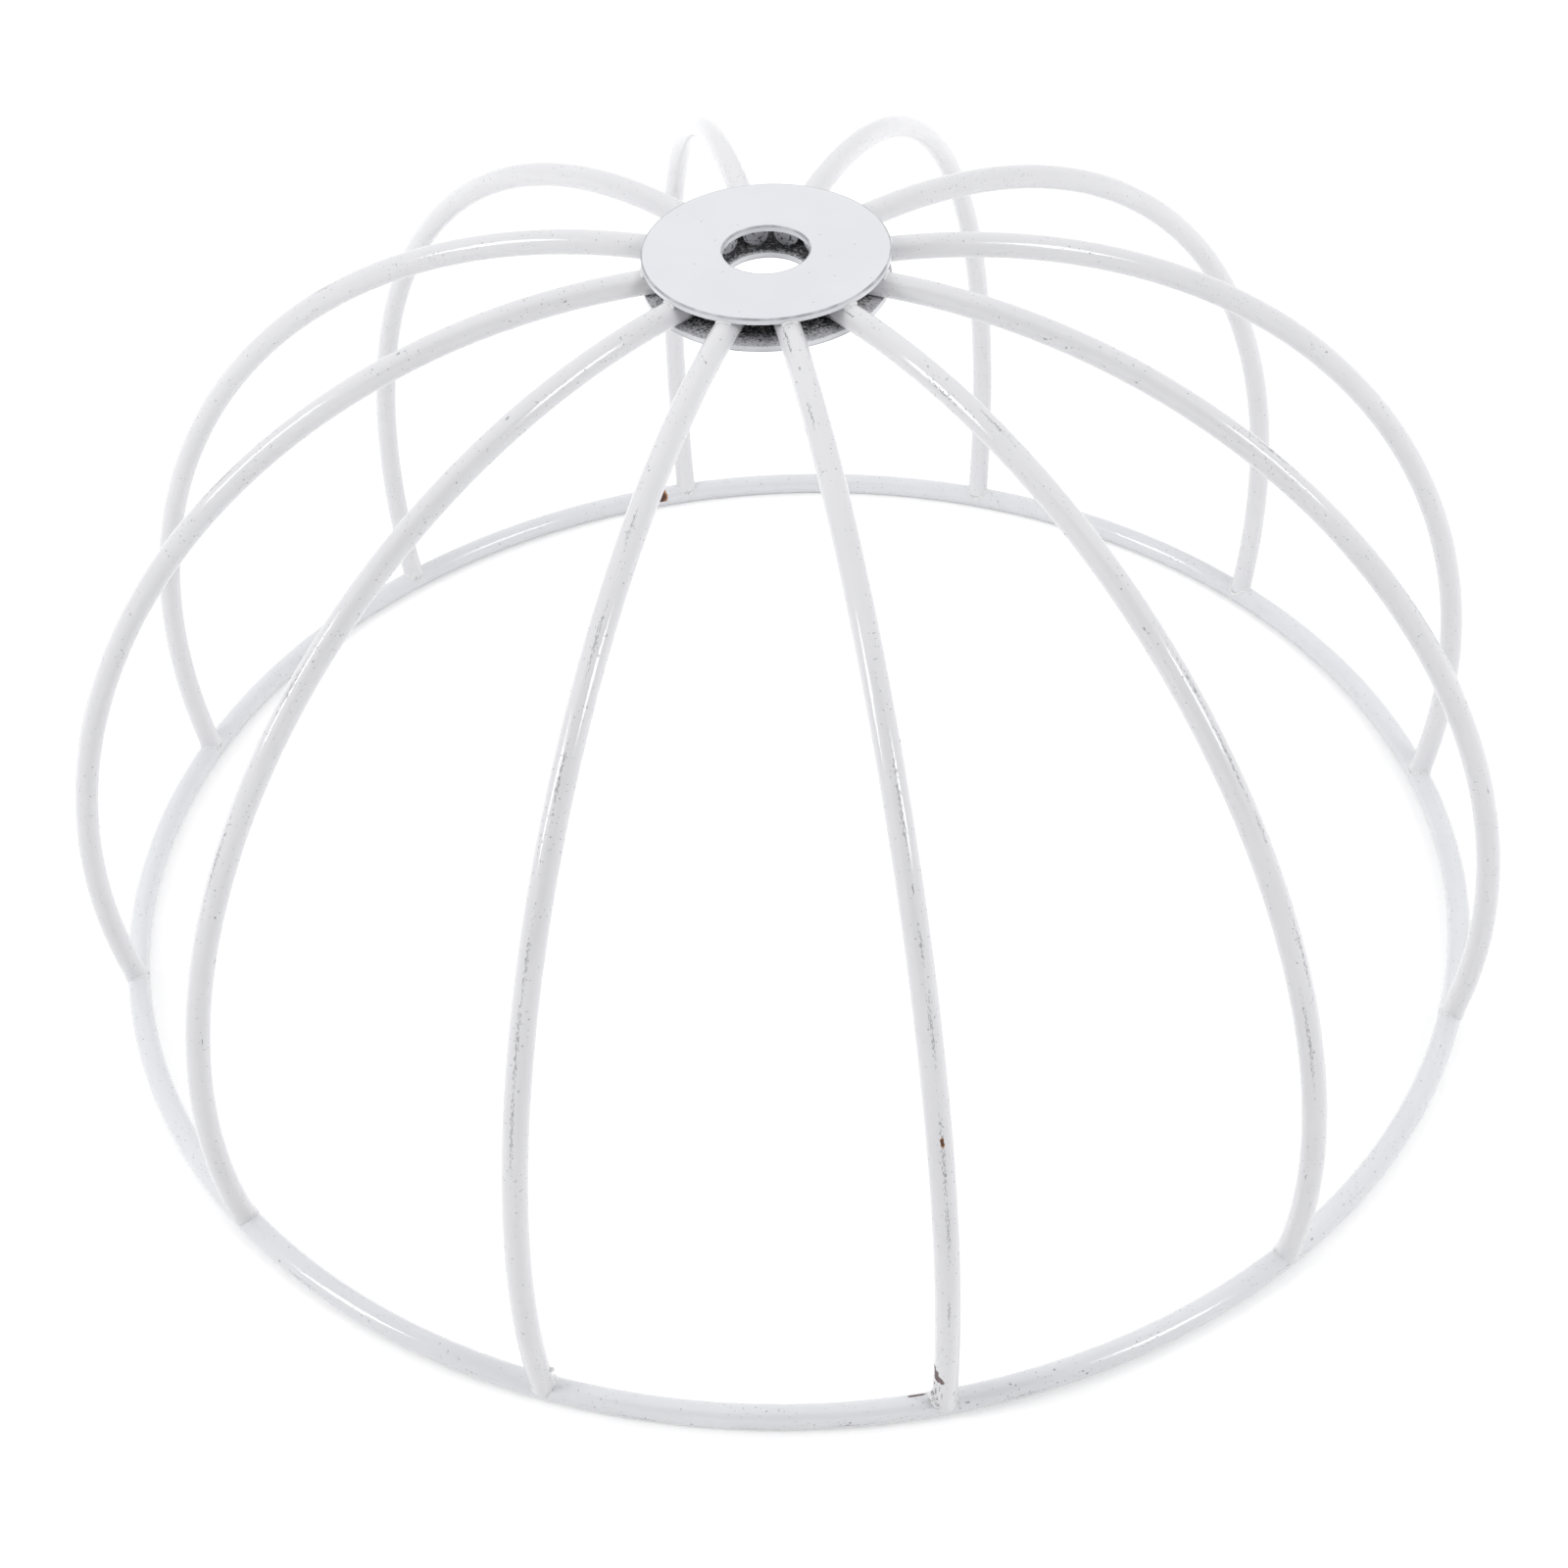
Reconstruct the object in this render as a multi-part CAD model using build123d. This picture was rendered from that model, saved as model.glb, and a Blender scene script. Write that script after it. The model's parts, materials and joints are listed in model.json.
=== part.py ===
from build123d import *
import math
import os

# Lampshade frame: bent wire ribs stand on a wire ring and meet at a hub of two flat discs.
# The origin is the middle of the ring, on the plane that the frame stands on, with +Z up.
# The hub's hole is on +Z, and one rib lies over +X. All sizes are in millimetres.

# Overall sizes
ring_outside_diameter = 185.0
frame_height = 102.8

# Wire
wire_diameter = 3.0
rib_count = 12

# Hub discs, with a hole that clears a 10 mm lamp tube
disc_diameter = 29.3
disc_thickness = 0.8
tube_hole_diameter = 10.2
punched_edge_bevel = 0.2

# Rib ends between the discs
rib_end_setback = 1.9
rib_straight_length = 5.25
spot_weld_sink = 0.06

# Rib feet, cut short of the middle of the ring's wire and upset a little where they are butt welded on it
foot_setback = 0.8
foot_flare_swell = 0.15
foot_flare_angle = 10.0

# Levels and radii that follow from the sizes above
wire_radius = wire_diameter / 2
ring_radius = ring_outside_diameter / 2 - wire_radius
rib_half_height_in_hub = wire_radius - spot_weld_sink
hub_level = frame_height - disc_thickness - rib_half_height_in_hub
rib_end_radius = tube_hole_diameter / 2 + rib_end_setback
bend_start_radius = rib_end_radius + rib_straight_length

# Each rib is one bend that leaves the hub level and heads for the middle of the ring's wire
bend_reach = ring_radius - bend_start_radius
bend_drop = hub_level - wire_radius
bend_radius = (bend_reach**2 + bend_drop**2) / (2 * bend_drop)
full_bend_angle = math.atan2(bend_reach, bend_radius - bend_drop)
bend_angle = math.degrees(full_bend_angle - foot_setback / bend_radius)


def make_ring():
    """Bottom ring: one round of wire on the origin's plane, with its own joint midway between two ribs."""
    half_pitch = 180 / rib_count
    return Pos(0, 0, wire_radius) * Rot(0, 0, half_pitch) * Torus(ring_radius, wire_radius)


def make_disc():
    """Punched disc that lies on the origin's plane, with its broken punched edges upward."""
    outline = Circle(disc_diameter / 2) - Circle(tube_hole_diameter / 2)
    disc = extrude(outline, amount=disc_thickness)
    punched_edges = disc.faces().sort_by(Axis.Z)[-1].edges()
    return chamfer(punched_edges, punched_edge_bevel)


def make_foot_flare():
    """Flare that widens down to the origin's plane, with its narrow end inside the wire."""
    wide_radius = wire_radius + foot_flare_swell
    narrow_radius = wire_radius / 2
    height = (wide_radius - narrow_radius) / math.tan(math.radians(foot_flare_angle))
    return Cone(wide_radius, narrow_radius, height, align=(Align.CENTER, Align.CENTER, Align.MIN))


def make_rib(top_disc, lower_disc, ring):
    """Rib over +X: pressed flat between the discs, bent once, and welded down on the ring."""
    straight_end = Line((rib_end_radius, hub_level), (bend_start_radius, hub_level))
    bend = JernArc(straight_end @ 1, straight_end % 1, bend_radius, -bend_angle)
    axis = Plane.XZ * (Curve() + [straight_end, bend])
    section = Plane(origin=axis @ 0, z_dir=axis % 0) * Circle(wire_radius)
    wire = sweep(section, path=axis)
    foot = Plane(origin=axis @ 1, z_dir=-(axis % 1)) * make_foot_flare()
    return wire + foot - top_disc - lower_disc - ring


bottom_ring = make_ring()
top_disc = Pos(0, 0, hub_level + rib_half_height_in_hub) * make_disc()
lower_disc = Pos(0, 0, hub_level - rib_half_height_in_hub) * mirror(make_disc(), about=Plane.XY)
rib = make_rib(top_disc, lower_disc, bottom_ring)

nodes = {"bottom_ring": bottom_ring, "top_disc": top_disc, "lower_disc": lower_disc}
for number in range(rib_count):
    turn = 360 / rib_count * number
    nodes[f"rib_{number + 1:02d}"] = Rot(0, 0, turn) * rib

os.makedirs("parts", exist_ok=True)
for name, solid in nodes.items():
    export_step(solid, f"parts/{name}.step")
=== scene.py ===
import json
import math
import random

import bmesh
import bpy
from mathutils import Matrix, Vector, noise


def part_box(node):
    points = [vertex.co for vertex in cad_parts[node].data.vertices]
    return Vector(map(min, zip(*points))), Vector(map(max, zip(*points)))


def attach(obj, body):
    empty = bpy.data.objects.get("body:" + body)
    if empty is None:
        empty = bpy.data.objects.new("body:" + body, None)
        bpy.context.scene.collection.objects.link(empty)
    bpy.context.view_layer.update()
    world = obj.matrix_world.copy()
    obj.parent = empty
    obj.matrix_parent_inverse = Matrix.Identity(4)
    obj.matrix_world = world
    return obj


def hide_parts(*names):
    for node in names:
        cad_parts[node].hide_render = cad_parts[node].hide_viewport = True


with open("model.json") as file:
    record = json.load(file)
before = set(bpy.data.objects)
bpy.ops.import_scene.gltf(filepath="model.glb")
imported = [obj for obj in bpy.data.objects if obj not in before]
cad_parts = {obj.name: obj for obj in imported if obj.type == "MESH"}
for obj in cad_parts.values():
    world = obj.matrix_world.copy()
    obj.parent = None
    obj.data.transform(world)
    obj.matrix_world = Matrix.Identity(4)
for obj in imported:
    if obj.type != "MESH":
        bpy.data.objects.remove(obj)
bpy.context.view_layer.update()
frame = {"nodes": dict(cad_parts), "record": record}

MM = 0.001

# Sizes that the frame gives
rib_count = sum(name.startswith("rib_") for name in frame["nodes"])
rib_pitch = 2 * math.pi / rib_count
wire_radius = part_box("bottom_ring")[1].z / 2
ring_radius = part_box("bottom_ring")[1].x - wire_radius
disc_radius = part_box("top_disc")[1].x
hub_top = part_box("top_disc")[1].z
gap_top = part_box("top_disc")[0].z
gap_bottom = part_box("lower_disc")[1].z
hub_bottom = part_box("lower_disc")[0].z
hub_level = (gap_top + gap_bottom) / 2
tube_hole_radius = frame["record"]["mounts"][0]["dims"]["r_mm"] * MM

# The one bend of a rib: it leaves the hub level, bulges past the ring and ends on the ring's wire
rib_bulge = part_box("rib_01")[1].x - wire_radius - ring_radius
bend_drop = hub_level - wire_radius
bend_radius = rib_bulge + bend_drop - math.sqrt(2 * rib_bulge * bend_drop)
bend_centre_reach = ring_radius + rib_bulge - bend_radius
bend_centre_level = hub_level - bend_radius


def linear(hex_code):
    """Linear colour of an sRGB hex code."""
    parts = [int(hex_code[i:i + 2], 16) / 255 for i in (0, 2, 4)]
    return tuple(c / 12.92 if c <= 0.04045 else ((c + 0.055) / 1.055)**2.4 for c in parts) + (1.0,)


def add(tree, kind, sockets=None, **settings):
    """One shader node with its settings, and each named input set to a value or linked to a socket."""
    node = tree.nodes.new("ShaderNode" + kind)
    for name, value in settings.items():
        setattr(node, name, value)
    for name, value in (sockets or {}).items():
        if isinstance(value, bpy.types.NodeSocket):
            tree.links.new(value, node.inputs[name])
        else:
            node.inputs[name].default_value = value
    return node


def start_material(name):
    """Empty material, its node tree and its output."""
    material = bpy.data.materials.new(name)
    material.use_nodes = True
    tree = material.node_tree
    tree.nodes.clear()
    return material, tree, add(tree, "OutputMaterial")


def calculate(tree, operation, first, second=0.0):
    """Number that an operation on numbers gives."""
    return add(tree, "Math", {0: first, 1: second}, operation=operation).outputs[0]


def line(tree, value, slope, start):
    """Start, plus value times slope."""
    return calculate(tree, "ADD", calculate(tree, "MULTIPLY", value, slope), start)


def largest(tree, first, *others):
    """The largest of some values."""
    for other in others:
        first = calculate(tree, "MAXIMUM", first, other)
    return first


def shift(tree, operation, first, second):
    """Vector that an operation on vectors gives."""
    return add(tree, "VectorMath", {0: first, 1: second}, operation=operation).outputs["Vector"]


def measure(tree, operation, first, second=(0, 0, 0)):
    """Number that an operation on vectors gives, such as a length."""
    return add(tree, "VectorMath", {0: first, 1: second}, operation=operation).outputs["Value"]


def step(tree, value, start, end):
    """Smooth rise from 0 at start to 1 at end, or a fall where end is the lower."""
    rise = {"Value": value, "From Min": start, "From Max": end}
    return add(tree, "MapRange", rise, interpolation_type="SMOOTHSTEP").outputs["Result"]


def grain(tree, place, size, detail=2.0, output="Fac"):
    """Noise whose lumps are size wide, with one width for each axis or one for all."""
    scale = [1 / width for width in (size if isinstance(size, tuple) else (size,) * 3)]
    spread = shift(tree, "MULTIPLY", place, scale)
    return add(tree, "TexNoise", {"Vector": spread, "Scale": 1.0, "Detail": detail}).outputs[output]


def blend(tree, amount, under, over):
    """Colour under, covered by colour over where amount is 1."""
    return add(tree, "MixRGB", {"Fac": amount, "Color1": under, "Color2": over}).outputs["Color"]


def stain(tree, amount, under, hex_code, strength):
    """Colour under, stained by a colour with some strength where amount is 1."""
    return blend(tree, calculate(tree, "MULTIPLY", amount, strength), under, linear(hex_code))


def scattered_dots(tree, place, net_width, edge, full, share):
    """Dots over the first two parts of a place: one dot in a share of the cells of a net.

    A dot fades in from its edge to where it is full, both as shares of the net's width.
    """
    net = add(tree, "TexVoronoi", {"Vector": place, "Scale": 1 / net_width}, voronoi_dimensions="2D")
    lot = add(tree, "SeparateXYZ", {0: net.outputs["Color"]}).outputs["X"]
    chosen = calculate(tree, "LESS_THAN", lot, share)
    return calculate(tree, "MULTIPLY", step(tree, net.outputs["Distance"], edge, full), chosen)


def relief(tree, height, depth, strength, under=None, invert=False):
    """Normal of a surface with a relief, which may lie on another relief."""
    sockets = {"Height": height, "Distance": depth, "Strength": strength}
    if under is not None:
        sockets["Normal"] = under
    return add(tree, "Bump", sockets, invert=invert).outputs["Normal"]


def set_coat(tree, output, colour, roughness, normal):
    """Shader of a powder coat on a material's surface."""
    shader = add(tree, "BsdfPrincipled", {"Base Color": colour, "Roughness": roughness, "Normal": normal})
    tree.links.new(shader.outputs["BSDF"], output.inputs["Surface"])


def polar_place(tree):
    """Position on the object, its three parts, and its distance from the frame's axis."""
    position = add(tree, "TexCoord").outputs["Object"]
    parts = add(tree, "SeparateXYZ", {0: position}).outputs
    reach = measure(tree, "LENGTH", shift(tree, "MULTIPLY", position, (1, 1, 0)))
    return position, parts, reach


# A wire's own measure: along it, round it from its outermost line, and the wire's number times a gap. A pattern
# that is much narrower than the gap in the third part comes out different on each wire
NUMBER_GAP = 50 * MM
NARROW = 10 * MM


def rib_place(tree):
    """Place on a rib, for all ribs at once, with the start of its bend at 0 along it."""
    position, parts, reach = polar_place(tree)
    turn = calculate(tree, "ARCTAN2", parts["Y"], parts["X"])
    number = calculate(tree, "ROUND", calculate(tree, "DIVIDE", turn, rib_pitch))
    beside = calculate(tree, "SUBTRACT", turn, calculate(tree, "MULTIPLY", number, rib_pitch))
    aside = calculate(tree, "MULTIPLY", reach, calculate(tree, "SINE", beside))
    outward = calculate(tree, "MULTIPLY", reach, calculate(tree, "COSINE", beside))
    outward = calculate(tree, "SUBTRACT", outward, bend_centre_reach)
    upward = calculate(tree, "SUBTRACT", parts["Z"], bend_centre_level)
    along = calculate(tree, "MULTIPLY", calculate(tree, "ARCTAN2", outward, upward), bend_radius)
    arm = add(tree, "CombineXYZ", {0: outward, 1: upward}).outputs[0]
    proud = calculate(tree, "SUBTRACT", measure(tree, "LENGTH", arm), bend_radius)
    around = calculate(tree, "MULTIPLY", calculate(tree, "ARCTAN2", aside, proud), wire_radius)
    number = calculate(tree, "FLOORED_MODULO", number, rib_count)
    shelf = calculate(tree, "MULTIPLY", calculate(tree, "ADD", number, 1), NUMBER_GAP)
    return add(tree, "CombineXYZ", {0: along, 1: around, 2: shelf}).outputs[0], position, reach


def ring_place(tree):
    """Place on the ring, from over +X, with the number 0 for its wire."""
    position, parts, reach = polar_place(tree)
    turn = calculate(tree, "ARCTAN2", parts["Y"], parts["X"])
    outward = calculate(tree, "SUBTRACT", reach, ring_radius)
    upward = calculate(tree, "SUBTRACT", parts["Z"], wire_radius)
    around = calculate(tree, "MULTIPLY", calculate(tree, "ARCTAN2", upward, outward), wire_radius)
    along = calculate(tree, "MULTIPLY", turn, ring_radius)
    return add(tree, "CombineXYZ", {0: along, 1: around, 2: 0.0}).outputs[0], position, reach


def marks_at(tree, place, marks, soft):
    """1 in each mark and 0 outside it, with a soft edge that takes up a share of the mark.

    Marks go by half length and half width: wire number, along and around. All lengths are in mm.
    """
    far_off = 10.0
    nearest = far_off
    for (half_length, half_width), centres in marks.items():
        shrink = (1 / (half_length * MM), 1 / (half_width * MM), 1 / MM)
        shrunk_place = shift(tree, "MULTIPLY", place, shrink)
        for number, along, around in centres:
            centre = (along / half_length, around / half_width, number * NUMBER_GAP / MM)
            nearest = calculate(tree, "MINIMUM", nearest, measure(tree, "DISTANCE", shrunk_place, centre))
    return step(tree, nearest, 1.0, 1.0 - soft)


# Pits in the coat: width of the net and radius of the dot in mm, and the share of cells with a dot outside and
# inside the groups
pit_nets = ((5.0, 0.15, 0.1, 0.35), (1.4, 0.12, 0.03, 0.3), (0.7, 0.08, 0.02, 0.3))


# Gloss polyester powder coat on drawn steel wire, sprayed and baked, then rubbed in use.
# The eye gets a near-white with a crisp gloss that wavers a little, grey rubs on each wire's outermost
# line, small pits, and chips and rust at a few places.
def make_wire_coat(name, find_place, greys, rubs, scratches, chips, rusts):
    material, tree, output = start_material(name)
    place, position, reach = find_place(tree)
    cloud = grain(tree, position, size=14 * MM, detail=4.0)
    colour = blend(tree, cloud, linear(greys[0]), linear(greys[1]))

    # Edges of marks wander by a few tenths of a millimetre
    middle_grey = (0.5, 0.5, 0.5)
    wander = (0.9 * MM, 0.35 * MM, 0.0)
    ragged = grain(tree, place, size=0.45 * MM, output="Color")
    ragged = shift(tree, "MULTIPLY", shift(tree, "SUBTRACT", ragged, middle_grey), wander)
    rough_place = shift(tree, "ADD", place, ragged)

    # Rubs: short dark dashes and specks, closer together in the middle of each rub
    rub_zone = marks_at(tree, place, rubs, soft=0.95)
    dashes = grain(tree, place, size=(0.55 * MM, 0.14 * MM, NARROW), detail=3.0)
    worn = step(tree, line(tree, rub_zone, slope=0.25, start=dashes), start=0.66, end=0.8)
    worn = calculate(tree, "MULTIPLY", worn, step(tree, rub_zone, start=0.0, end=0.2))

    # Pits: one small dot in some cells of a coarse net and of two finer ones, in loose groups. Each wire has its
    # own stretch of the nets
    stretch_per_gap = 7
    full_part = 0.4
    spread = add(tree, "SeparateXYZ", {0: place}).outputs
    own_net = line(tree, spread["Z"], slope=stretch_per_gap, start=spread["X"])
    skin = add(tree, "CombineXYZ", {0: own_net, 1: spread["Y"]}).outputs[0]
    groups = grain(tree, place, size=(9 * MM, 3 * MM, NARROW), detail=1.0)
    groups = step(tree, groups, start=0.4, end=0.6)
    dot = 0.0
    for net_width, dot_radius, sparse, dense in pit_nets:
        edge = dot_radius / net_width
        share = line(tree, groups, slope=dense - sparse, start=sparse)
        dot = largest(tree, dot, scattered_dots(tree, skin, net_width * MM, edge, full_part * edge, share))

    scratch = marks_at(tree, rough_place, scratches, soft=0.5)
    chip = marks_at(tree, rough_place, chips, soft=0.15)
    rust = marks_at(tree, rough_place, rusts, soft=0.6)
    colour = stain(tree, worn, colour, "76767B", strength=0.62)
    colour = stain(tree, dot, colour, "707076", strength=0.45)
    colour = stain(tree, scratch, colour, "5C5C62", strength=0.55)
    steel = blend(tree, grain(tree, place, size=0.3 * MM), linear("3C3032"), linear("86726F"))
    colour = blend(tree, chip, colour, steel)
    rust_core = step(tree, rust, start=0.5, end=0.95)
    rust_colour = blend(tree, rust_core, linear("A87448"), linear("4A2C20"))
    colour = blend(tree, step(tree, rust, start=0.02, end=0.3), colour, rust_colour)

    # Thin coat where the spray could not reach between the discs. A little more got in through the hole
    speckle = grain(tree, position, size=0.4 * MM, detail=4.0)
    depth = step(tree, reach, start=14.2 * MM, end=10.5 * MM)
    thin = step(tree, line(tree, speckle, slope=0.9, start=depth), start=0.6, end=0.8)
    thin = calculate(tree, "MULTIPLY", thin, step(tree, reach, start=14.3 * MM, end=13.6 * MM))
    from_hole = step(tree, reach, start=9.0 * MM, end=7.0 * MM)
    spots = step(tree, line(tree, from_hole, slope=0.1, start=speckle), start=0.44, end=0.6)
    colour = blend(tree, thin, colour, blend(tree, spots, linear("4E4E53"), linear("D4D4DA")))

    # Surface relief: long waver of the wire, orange peel, and marks that lie below the coat's surface
    waver = grain(tree, place, size=(11 * MM, 3.5 * MM, NARROW), detail=1.0)
    normal = relief(tree, waver, depth=0.05 * MM, strength=0.5)
    peel = grain(tree, position, size=0.9 * MM)
    normal = relief(tree, peel, depth=0.012 * MM, strength=0.6, under=normal)
    sunk = largest(tree, chip, dot, scratch)
    normal = relief(tree, sunk, depth=0.08 * MM, strength=0.8, under=normal, invert=True)
    dull = largest(tree, worn, chip, thin, rust)
    set_coat(tree, output, colour, line(tree, dull, slope=0.4, start=0.1), normal)
    return material


# The same coat on punched steel discs. The eye gets an even cool white on the outer faces, and bare
# dark steel with grey spray dust on the faces that lie between the discs.
def make_disc_coat(name, upper_face_is_inside):
    material, tree, output = start_material(name)
    position, parts, reach = polar_place(tree)
    cloud = grain(tree, position, size=9 * MM, detail=4.0)
    colour = blend(tree, cloud, linear("DCDDE2"), linear("E5E6EA"))
    smudge = grain(tree, position, size=(3.5 * MM, 1.2 * MM, 1.0), detail=5.0)
    colour = stain(tree, step(tree, smudge, start=0.66, end=0.8), colour, "BFC0C6", strength=0.25)
    dot = scattered_dots(tree, position, net_width=3.2 * MM, edge=0.045, full=0.02, share=0.35)
    colour = stain(tree, dot, colour, "85858B", strength=0.45)

    # A grey line along the punched edges of the outer face: the coat is thin there, and the line is also painted
    # shade where the edge turns over
    grey_width = (0.26 * MM, 0.16 * MM)
    grey_depth = (0.28 * MM, 0.18 * MM)
    outer_level, inward = (hub_bottom, 1) if upper_face_is_inside else (hub_top, -1)
    rim_thin_coat_and_shade = step(tree, reach, *(disc_radius - width for width in grey_width))
    hole_thin_coat_and_shade = step(tree, reach, *(tube_hole_radius + width for width in grey_width))
    at_level = step(tree, parts["Z"], *(outer_level + inward * depth for depth in grey_depth))
    edge = calculate(tree, "MULTIPLY", largest(tree, rim_thin_coat_and_shade, hole_thin_coat_and_shade), at_level)
    patchy = step(tree, grain(tree, position, size=2.2 * MM, detail=3.0), start=0.3, end=0.62)
    edge = calculate(tree, "MULTIPLY", edge, line(tree, patchy, slope=0.6, start=0.35))
    # Grey of the edge line: thin coat together with painted shade
    colour = blend(tree, edge, colour, linear("A2A2A8"))

    # Spray dust gets a few millimetres in from the rim, and less far from the hole
    middle_grey = 0.5
    from_rim = step(tree, reach, start=10.6 * MM, end=14.9 * MM)
    from_hole = step(tree, reach, start=6.2 * MM, end=5.0 * MM)
    speckle = calculate(tree, "SUBTRACT", grain(tree, position, size=0.3 * MM, detail=4.0), middle_grey)
    dust = line(tree, speckle, slope=3.2, start=calculate(tree, "ADD", from_rim, from_hole))
    shade = blend(tree, step(tree, dust, start=-0.1, end=1.1), linear("414145"), linear("E6E6EA"))

    # Single white droplets of powder lie on the dust, more of them toward the rim
    toward_rim = step(tree, reach, start=10.8 * MM, end=13.6 * MM)
    share = line(tree, toward_rim, slope=0.5, start=0.05)
    droplet = scattered_dots(tree, position, net_width=0.45 * MM, edge=0.34, full=0.2, share=share)
    shade = stain(tree, droplet, shade, "F6F6F8", strength=0.8)

    # The face inside starts a little below the disc's surface
    skin_depth = 0.05 * MM
    blur = 0.02 * MM
    inner_level = gap_bottom - skin_depth if upper_face_is_inside else gap_top + skin_depth
    toward = (inner_level - blur, inner_level + blur)
    inside = step(tree, parts["Z"], *(toward if upper_face_is_inside else reversed(toward)))
    colour = blend(tree, inside, colour, shade)
    peel = grain(tree, position, size=1.1 * MM)
    normal = relief(tree, peel, depth=0.012 * MM, strength=0.5)
    set_coat(tree, output, colour, line(tree, inside, slope=0.35, start=0.2), normal)
    return material


# Weld metal under the powder coat. The eye gets a softly lumpy white, and on a burnt foot grey cracks
# and brown hollows between the lumps.
def make_weld_coat(name, crack_strength):
    gloss_roughness = 0.3
    crack_spacing = 1.2 * MM
    wander = (0.6 * MM,) * 3
    material, tree, output = start_material(name)
    position = add(tree, "TexCoord").outputs["Object"]
    lumps = grain(tree, position, size=0.5 * MM, detail=4.0)
    colour = blend(tree, step(tree, lumps, start=0.35, end=0.6), linear("DEDEE0"), linear("ECECEC"))
    ragged = shift(tree, "MULTIPLY", grain(tree, position, size=0.6 * MM, output="Color"), wander)
    net = {"Vector": shift(tree, "ADD", ragged, position), "Scale": 1 / crack_spacing}
    cracks = add(tree, "TexVoronoi", net, feature="DISTANCE_TO_EDGE").outputs["Distance"]
    crack = calculate(tree, "MULTIPLY", step(tree, cracks, start=0.06, end=0.02), crack_strength)
    crack_colour = blend(tree, step(tree, lumps, start=0.45, end=0.55), linear("4E4240"), linear("8A8A8C"))
    colour = blend(tree, crack, colour, crack_colour)
    set_coat(tree, output, colour, gloss_roughness, relief(tree, lumps, depth=0.06 * MM, strength=0.5))
    return material


def make_paper(tree, darker, lighter):
    """Shader of matt paper with a fine fibre between two hex colours."""
    fibre = grain(tree, add(tree, "TexCoord").outputs["Object"], size=2 * MM)
    return add(tree, "BsdfDiffuse", {"Color": blend(tree, fibre, linear(darker), linear(lighter))}).outputs[0]


# Seamless white paper sweep. To the camera it is white, and it keeps a faint shadow of the frame.
def make_sweep():
    material, tree, output = start_material("white_paper_sweep")
    paper = make_paper(tree, "F8F8F8", "FBFBFB")
    glow = add(tree, "Emission", {"Color": (1, 1, 1, 1), "Strength": 0.2}).outputs[0]
    both = add(tree, "AddShader", {0: paper, 1: glow}).outputs[0]
    surface = add(tree, "MixShader", {"Fac": add_seen_ray(tree), 1: paper, 2: both})
    tree.links.new(surface.outputs[0], output.inputs["Surface"])
    return material


def add_seen_ray(tree):
    """1 for a ray that the camera, a gloss or a clear material looks along."""
    kinds = add(tree, "LightPath").outputs
    return largest(tree, kinds["Is Camera Ray"], kinds["Is Glossy Ray"], kinds["Is Transmission Ray"])


def set_world():
    """White studio, seen at full white. Its light comes more from behind the frame than from the camera's side."""
    from_above = 0.91
    from_behind = 0.2
    darkest = 0.08
    behind = math.radians(82)
    world = bpy.data.worlds.new("studio")
    bpy.context.scene.world = world
    world.use_nodes = True
    tree = world.node_tree
    tree.nodes.clear()
    direction = add(tree, "TexCoord").outputs["Generated"]
    side = measure(tree, "DOT_PRODUCT", direction, (math.cos(behind), math.sin(behind), 0))
    strength = largest(tree, line(tree, side, from_behind, from_above), darkest)
    light = add(tree, "Background", {"Color": (1, 1, 1, 1), "Strength": strength})
    white = add(tree, "Background", {"Color": (1, 1, 1, 1), "Strength": 1.0})
    mixed = add(tree, "MixShader", {"Fac": add_seen_ray(tree), 1: light.outputs[0], 2: white.outputs[0]})
    output = add(tree, "OutputWorld")
    tree.links.new(mixed.outputs[0], output.inputs["Surface"])


def way_out(azimuth, elevation):
    """Unit vector away from the frame's axis, by its degrees round from +X and its degrees up."""
    turn = math.radians(azimuth)
    rise = math.radians(elevation)
    return Vector((math.cos(turn) * math.cos(rise), math.sin(turn) * math.cos(rise), math.sin(rise)))


def add_softbox(name, azimuth, elevation, width, height):
    """Upright softbox that looks at the middle of the frame from a given side and height, in degrees."""
    distance = 1.0
    watts_per_square_metre = 29.0
    lamp = bpy.data.lights.new(name, "AREA")
    lamp.shape = "RECTANGLE"
    lamp.size = width
    lamp.size_y = height
    lamp.energy = watts_per_square_metre * width * height
    box = bpy.data.objects.new(name, lamp)
    bpy.context.scene.collection.objects.link(box)
    way = way_out(azimuth, elevation)
    box.location = Vector((0, 0, hub_top / 2)) + way * distance
    box.rotation_euler = (-way).to_track_quat("-Z", "Y").to_euler()


def add_black_card():
    """Black card round the camera. It keeps light off the front of the frame, as the camera did in the studio."""
    width = 0.4
    distance = 0.45
    way = way_out(azimuth=-98.4, elevation=42.4)
    bpy.ops.mesh.primitive_plane_add(size=width)
    card = bpy.context.object
    card.name = "black_card"
    card.location = way * distance
    card.rotation_euler = (-way).to_track_quat("Z", "Y").to_euler()
    card.visible_camera = False
    material, tree, output = start_material("black_card_paper")
    tree.links.new(make_paper(tree, "181818", "242424"), output.inputs["Surface"])
    card.data.materials.append(material)


def add_floor():
    """White floor, wide enough to fill the camera's view."""
    width = 6.0
    bpy.ops.mesh.primitive_plane_add(size=width)
    floor = bpy.context.object
    floor.name = "floor"
    floor.data.materials.append(make_sweep())


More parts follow.
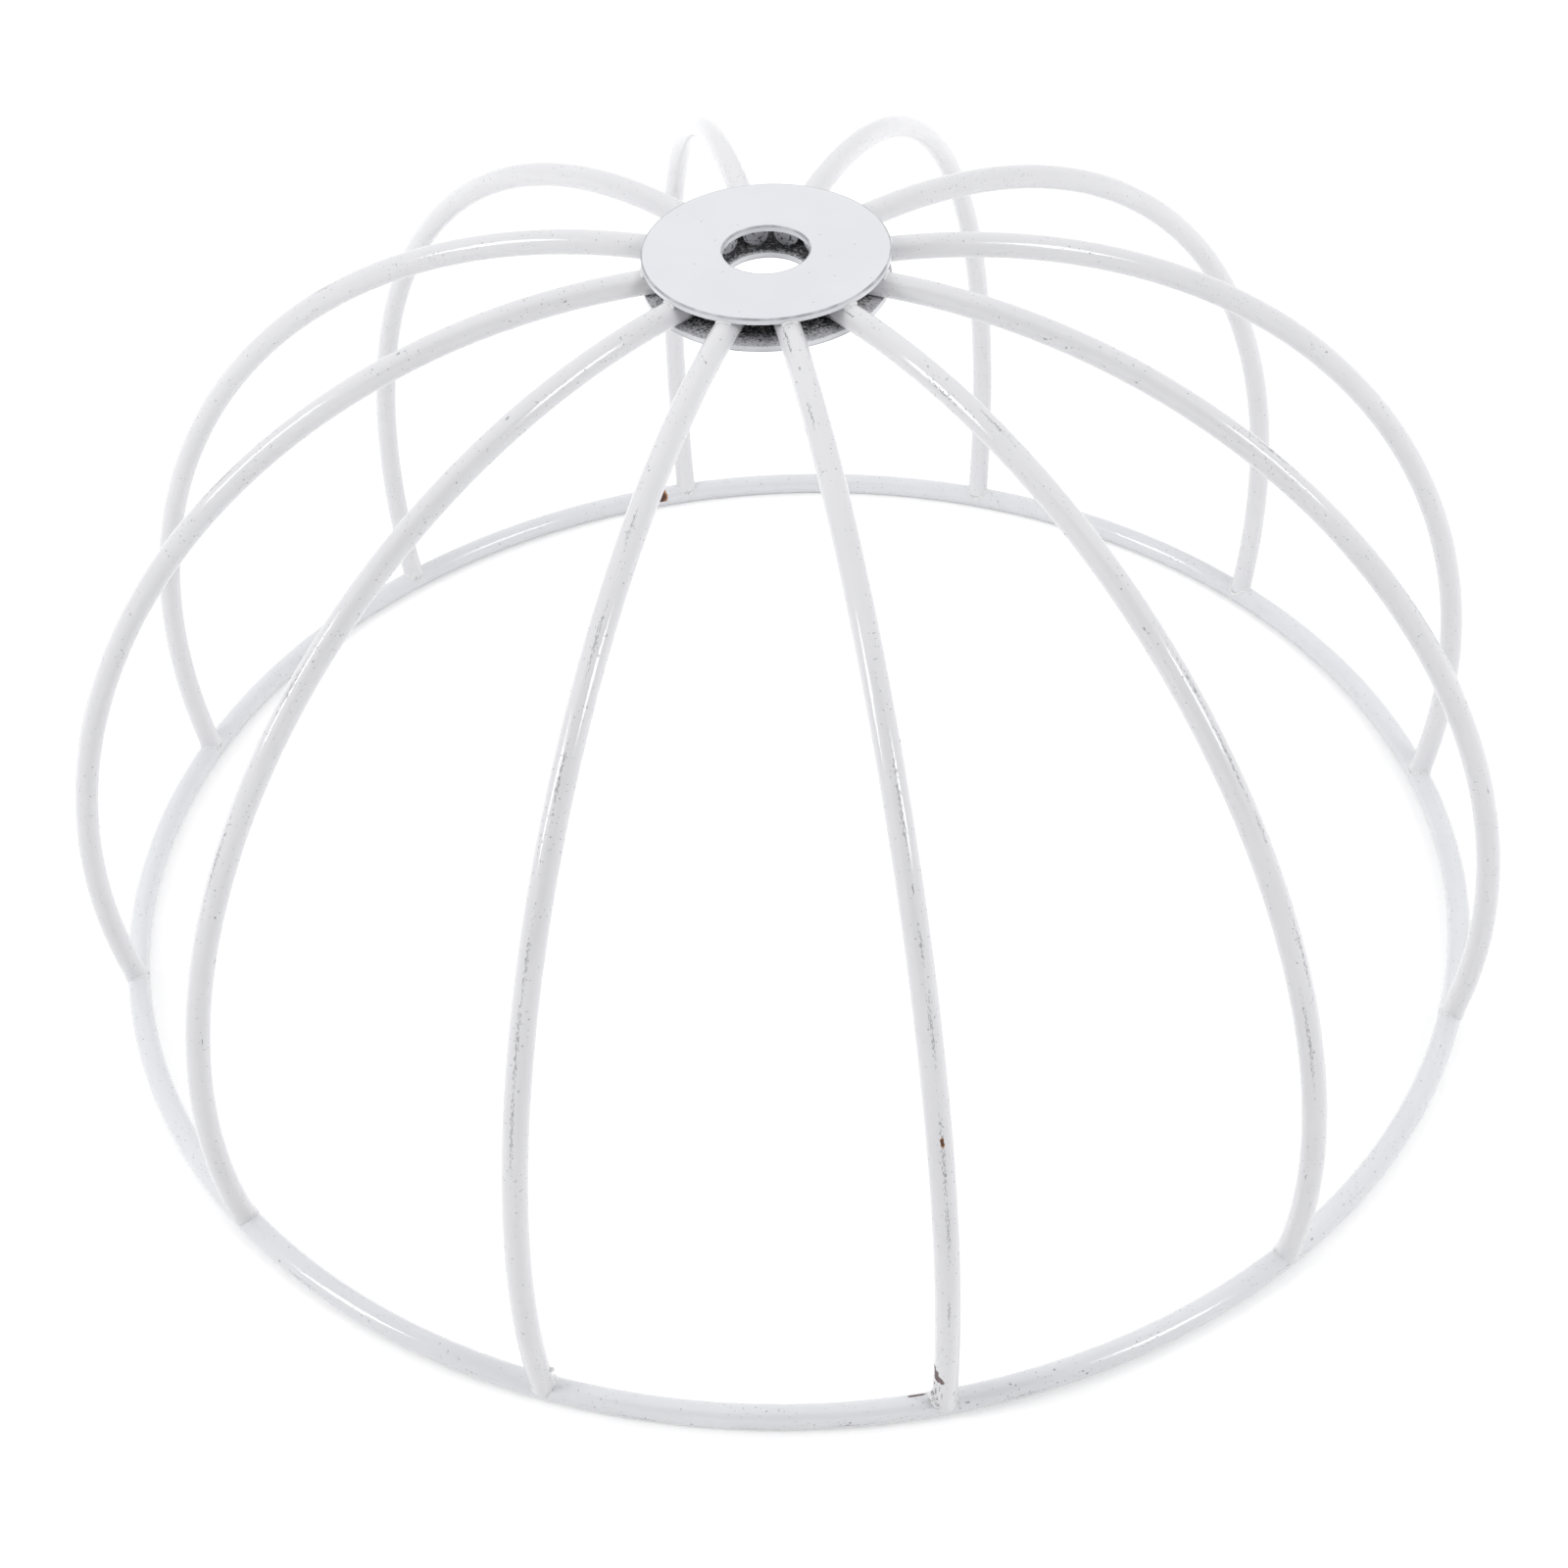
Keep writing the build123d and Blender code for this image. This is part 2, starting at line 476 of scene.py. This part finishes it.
def add_camera():
    """Camera of the photograph: from the front and above, close to the frame and leaning a little."""
    focal_length_px = 2988.3
    picture_width_px = 1600
    axis_column_px = 771.3
    distance = 409.04 * MM
    elevation = math.radians(42.373)
    azimuth = math.radians(-8.37)
    roll = math.radians(-3.192)
    aside = -4.625 * MM
    above = 12.756 * MM
    data = bpy.data.cameras.new("camera")
    data.sensor_width = 36.0
    data.lens = data.sensor_width * focal_length_px / picture_width_px
    data.shift_x = (picture_width_px / 2 - axis_column_px) / picture_width_px
    data.clip_start = 10 * MM
    camera = bpy.data.objects.new("camera", data)
    bpy.context.scene.collection.objects.link(camera)
    ring_middle = Matrix.Translation((0, 0, wire_radius))
    look = Matrix.Rotation(azimuth, 4, "Z") @ Matrix.Rotation(math.pi / 2 - elevation, 4, "X")
    back = Matrix.Translation((aside, above, distance))
    camera.matrix_world = ring_middle @ look @ back @ Matrix.Rotation(roll, 4, "Z")
    bpy.context.scene.camera = camera


def finish_piece(mesh_maker, name, material, smooth=True):
    """Object of a finished bmesh, at the origin, with its material and its body."""
    mesh = bpy.data.meshes.new(name)
    mesh_maker.to_mesh(mesh)
    mesh_maker.free()
    if smooth:
        mesh.shade_smooth()
    mesh.materials.append(material)
    piece = bpy.data.objects.new(name, mesh)
    bpy.context.scene.collection.objects.link(piece)
    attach(piece, "root")
    return piece


def make_disc_plate(low, high, rounded_side):
    """Punched plate between two levels: its edges are rolled over on one side and sharp on the other."""
    roll_over = 0.18 * MM
    sharp_edge = 0.05 * MM
    round_parts = 256
    edge_parts = 6
    sharp_angle = 1.0
    level_enough = 0.999
    plate = bmesh.new()
    for radius in (tube_hole_radius, disc_radius):
        bmesh.ops.create_circle(plate, cap_ends=False, segments=round_parts, radius=radius)
    face_ring = bmesh.ops.bridge_loops(plate, edges=plate.edges[:])["faces"]
    raised = bmesh.ops.extrude_face_region(plate, geom=face_ring)["geom"]
    raised_points = [item for item in raised if isinstance(item, bmesh.types.BMVert)]
    bmesh.ops.translate(plate, vec=(0, 0, high - low), verts=raised_points)
    bmesh.ops.translate(plate, vec=(0, 0, low), verts=plate.verts[:])
    bmesh.ops.recalc_face_normals(plate, faces=plate.faces[:])
    middle = (low + high) / 2
    for side in (1, -1):
        rims = [edge for edge in plate.edges if edge.calc_face_angle() > sharp_angle
                and all((point.co.z - middle) * side > 0 for point in edge.verts)]
        width = roll_over if side == rounded_side else sharp_edge
        bmesh.ops.bevel(plate, geom=rims, offset=width, offset_type="OFFSET", segments=edge_parts, profile=0.5,
                        affect="EDGES", material=-1)
    for face in plate.faces:
        face.smooth = abs(face.normal.z) < level_enough
    return plate


def rib_ways(number):
    """Level unit vectors outward over a rib and aside from it."""
    turn = rib_pitch * (number - 1)
    return Vector((math.cos(turn), math.sin(turn), 0)), Vector((-math.sin(turn), math.cos(turn), 0))


def rib_point(number, along, around, proud):
    """Point on a rib's surface, or proud of it."""
    outward, aside = rib_ways(number)
    bend = along / bend_radius
    lean = around / wire_radius
    upright = outward * math.sin(bend) + Vector((0, 0, math.cos(bend)))
    normal = upright * math.cos(lean) + aside * math.sin(lean)
    axis = outward * (bend_centre_reach + bend_radius * math.sin(bend))
    axis.z = bend_centre_level + bend_radius * math.cos(bend)
    return axis + normal * (wire_radius + proud)


def add_lump(mass, place, size, seed, stretch=(1, 1, 1), knobs=0.15):
    """Adds a ball to a mass of weld metal, more or less knobbly."""
    knob_width = 0.6 * MM
    ball = bmesh.ops.create_icosphere(mass, subdivisions=3, radius=size)["verts"]
    bmesh.ops.scale(mass, vec=stretch, verts=ball)
    for point in ball:
        bulge = noise.noise(point.co / knob_width + Vector((seed, seed * 0.7, 0)))
        point.co *= 1 + knobs * bulge
    bmesh.ops.translate(mass, vec=place, verts=ball)


def fuse_lumps(piece, grain_size):
    """Melts overlapping lumps of one piece into one skin and keeps that as its mesh."""
    remesh = piece.modifiers.new("melt", "REMESH")
    remesh.mode = "VOXEL"
    remesh.voxel_size = grain_size
    remesh.use_smooth_shade = True
    soften = piece.modifiers.new("soften", "SMOOTH")
    soften.factor = 0.5
    soften.iterations = 6
    melted = bpy.data.meshes.new_from_object(piece.evaluated_get(bpy.context.evaluated_depsgraph_get()))
    piece.modifiers.clear()
    piece.data = melted


def make_foot_weld(number, flash_sides, knobs):
    """Flash that a butt weld squeezes out round a rib's foot, along the line where the two wires meet."""
    lump_count = 26
    lump_radius_mm = 0.3
    size_range = (0.85, 1.15)
    height_range = (0.9, 1.4)
    reach_range = (0.93, 0.97)
    angle_range = (-0.08, 0.08)
    seed_range = (0, 50)
    narrower = 0.95
    least_rise = 0.5 * MM
    sink = 0.05 * MM
    chance = random.Random(100 + number)
    outward, aside = rib_ways(number)
    mass = bmesh.new()
    for index in range(lump_count):
        angle = 2 * math.pi * index / lump_count + chance.uniform(*angle_range)
        reach = wire_radius * chance.uniform(*reach_range)
        across = math.cos(angle) * reach
        beside = math.sin(angle) * reach
        height = wire_radius + math.sqrt(max(wire_radius**2 - across**2, least_rise**2)) - sink
        strength = flash_sides[0] if beside > 0 else flash_sides[1]
        size = lump_radius_mm * strength * chance.uniform(*size_range) * MM
        place = outward * (ring_radius + across * narrower) + aside * beside + Vector((0, 0, height))
        seed = chance.uniform(*seed_range)
        add_lump(mass, place, size, seed, (1, 1, chance.uniform(*height_range)), knobs)
    return mass


def add_spatter(mass, number, balls):
    """Balls of weld spatter on a rib: along, around, how proud the middle is, and radius, in mm."""
    for along, around, proud, radius in balls:
        place = rib_point(number, along * MM, around * MM, proud * MM)
        add_lump(mass, place, radius * MM, seed=along, knobs=0.3)


def make_paint_bridge(number):
    """Web of coat in the corner between a rib and the top disc's rim."""
    off_rim = 0.02 * MM
    into_corner = 0.08 * MM
    size_range_mm = (0.2, 0.27)
    seed_range = (0, 50)
    chance = random.Random(300 + number)
    outward, aside = rib_ways(number)
    web = bmesh.new()
    for beside_mm in (-0.8, -0.6, -0.4, -0.2, 0.0, 0.2, 0.4, 0.6, 0.8):
        place = outward * (disc_radius + off_rim) + aside * beside_mm * MM
        place.z = gap_top - (wire_radius - math.sqrt(wire_radius**2 - (beside_mm * MM)**2)) + into_corner
        add_lump(web, place, chance.uniform(*size_range_mm) * MM, chance.uniform(*seed_range))
    return web


# Marks that the photograph shows on the ribs, by half length and half width: rib number, along and around.
# All lengths are in mm
rub_marks = {
    (4.5, 0.4): [(9, 33, 0.1), (10, 17, -0.7), (10, 5, -0.9), (11, 19, -1.6), (11, 26, -0.1), (10, 78, 0.1),
                 (11, 79, 0.1), (6, 49, 0.5), (10, 124, -0.2)],
    (8, 0.45): [(9, 46, 0.25), (9, 61, 0.1), (9, 81, 0.05), (10, 87, 0.1), (12, 51, 0.1), (7, 59, 0.1),
                (8, 64, 0.1), (10, 111, 0.0), (11, 62, 0.1)],
    (12, 0.45): [(9, 90, 0.05), (9, 100, 0.1), (10, 63, 0.1), (10, 102, 0.0), (11, 70, 0.0), (11, 95, 0.1),
                 (11, 106, -1.2), (6, 92, 0.1), (7, 100, 0.1), (8, 86, 0.1)],
    (18, 0.4): [(12, 80, 0.1), (1, 60, 0.1), (1, 96, 0.1), (2, 70, 0.1), (3, 88, 0.0), (4, 62, 0.1),
                (5, 80, 0.0)],
}
scratch_marks = {
    (0.2, 0.16): [(9, 61.2, 0.05), (9, 95.3, 0.63), (9, 9.3, 0.5), (10, 11.8, -1.36), (10, 10.2, -0.5),
                  (10, 104, 0.1), (10, 133, 0.4), (11, 3.7, -1.05), (11, 27, -0.14), (11, 54, -1.3),
                  (10, 56.5, 1.6), (11, 101.3, -1.28), (11, 107.4, -0.85), (12, 22, -2.33), (12, 24.7, -2.33),
                  (12, 33.5, -2.33), (1, 63, -1.35), (7, 11.7, 1.72), (7, 31.8, 0.39), (8, 93.1, 1.77),
                  (8, 99.2, 3.0), (8, 26, 0.14)],
    (0.6, 0.09): [(10, 4.0, -0.92), (10, 6.6, -0.92), (10, 72, 0.05), (11, 3.2, -1.05), (11, 127, -1.87),
                  (12, 104.3, -1.15), (8, 110.8, 2.04)],
    (0.75, 0.08): [(10, 139.2, -1.1), (10, 140.6, -0.75), (10, 141.6, -1.3), (10, 140.4, 0.7), (9, 140.4, -1.9)],
}
chip_marks = {(0.5, 0.22): [(10, 135.3, -2.05)], (0.75, 0.45): [(10, 136.2, -1.7)],
              (0.75, 0.75): [(10, 137.1, -1.4)], (0.4, 0.35): [(10, 137.5, -0.9)],
              (0.4, 0.14): [(10, 138.9, -2.0)], (0.8, 0.1): [(10, 140.2, -1.6)]}
rust_marks = {(0.7, 0.26): [(10, 99.9, 0.0)]}

# Marks on the ring go by the same sizes, each with its place in degrees from over +X, and around the wire in mm
ring_rubs = {(6, 0.3): [(-112, -0.25), (-104, -0.35), (-97, -0.1), (-84, 0.0), (-142, 0.3), (-60, 0.4)],
             (15, 0.3): [(20, 0.0), (75, 0.0), (140, 0.0)]}
ring_scratches = {(0.2, 0.16): [(-88.4, 0.9), (-87.7, 0.3), (-81.5, 2.0), (-111.9, 0.0), (-97.2, -0.1),
                                (-112.2, -0.4), (-108.5, -0.2), (-97, 0.3), (-144.5, 0.6), (-89, 0.3), (-85, 1.8),
                                (-79.2, 0.3), (-57.8, 1.1), (-79.5, 0.8)],
                  (0.7, 0.35): [(-119.4, 1.4)]}
ring_chips = {(1.1, 0.26): [(-91.9, 2.95)]}
ring_rusts = {(1.35, 1.7): [(92.8, 3.8)]}


def on_ring(marks):
    """Marks of the ring with their degrees turned into places along the wire."""
    return {size: [(0, math.radians(turn) * ring_radius / MM, around) for turn, around in places]
            for size, places in marks.items()}


rib_coat = make_wire_coat("gloss_powder_coat_on_rib_wire", rib_place, ("DEDEE2", "E8E8EA"), rub_marks,
                          scratch_marks, chip_marks, rust_marks)
ring_coat = make_wire_coat("gloss_powder_coat_on_ring_wire", ring_place, ("DBDCE0", "E6E7EA"),
                           *(on_ring(marks) for marks in (ring_rubs, ring_scratches, ring_chips, ring_rusts)))
top_disc_coat = make_disc_coat("powder_coat_on_top_disc", upper_face_is_inside=False)
lower_disc_coat = make_disc_coat("powder_coat_on_lower_disc", upper_face_is_inside=True)
weld_coat = make_weld_coat("powder_coat_on_weld_metal", crack_strength=0.1)
burnt_weld_coat = make_weld_coat("powder_coat_on_burnt_weld", crack_strength=0.85)

finish = {"bottom_ring": ring_coat, "top_disc": top_disc_coat, "lower_disc": lower_disc_coat}
for name, node in frame["nodes"].items():
    node.data.materials.clear()
    node.data.materials.append(finish.get(name, rib_coat))

top_plate = make_disc_plate(gap_top, hub_top, rounded_side=1)
top_plate = finish_piece(top_plate, "top_disc_plate", top_disc_coat, smooth=False)
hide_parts("top_disc")
lower_plate = make_disc_plate(hub_bottom, gap_bottom, rounded_side=-1)
lower_plate = finish_piece(lower_plate, "lower_disc_plate", lower_disc_coat, smooth=False)
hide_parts("lower_disc")

# Flash on the two sides of each foot, toward the next rib and toward the one before, and how knobbly it is
foot_flash = {9: (0.95, 0.9, 0.2), 10: (0.95, 1.4, 0.5), 11: (1.1, 0.8, 0.15)}
even_flash = (0.85, 0.85, 0.12)
burnt_foot = 10
spatter = {9: [(140.6, 2.7, 0.15, 0.34)],
           10: [(142.6, -1.9, 0.1, 0.4), (141.4, -2.1, 0.0, 0.34), (143.2, -1.2, 0.0, 0.38),
                (142.0, -1.3, -0.1, 0.3), (143.4, -2.3, 0.3, 0.26)]}
weld_grain = 0.11 * MM
bridge_grain = 0.08 * MM
for number in range(1, rib_count + 1):
    *flash_sides, knobs = foot_flash.get(number, even_flash)
    mass = make_foot_weld(number, flash_sides, knobs)
    add_spatter(mass, number, spatter.get(number, []))
    coat = burnt_weld_coat if number == burnt_foot else weld_coat
    weld = finish_piece(mass, f"foot_weld_{number:02d}", coat)
    fuse_lumps(weld, weld_grain)
    bridge = finish_piece(make_paint_bridge(number), f"paint_bridge_{number:02d}", weld_coat)
    fuse_lumps(bridge, bridge_grain)

add_camera()
add_floor()
add_black_card()
set_world()
add_softbox("softbox_right", azimuth=-46.2, elevation=36.2, width=0.24, height=0.31)
add_softbox("softbox_left", azimuth=-171.2, elevation=30.6, width=0.21, height=0.39)
bpy.context.scene.view_settings.view_transform = "Standard"
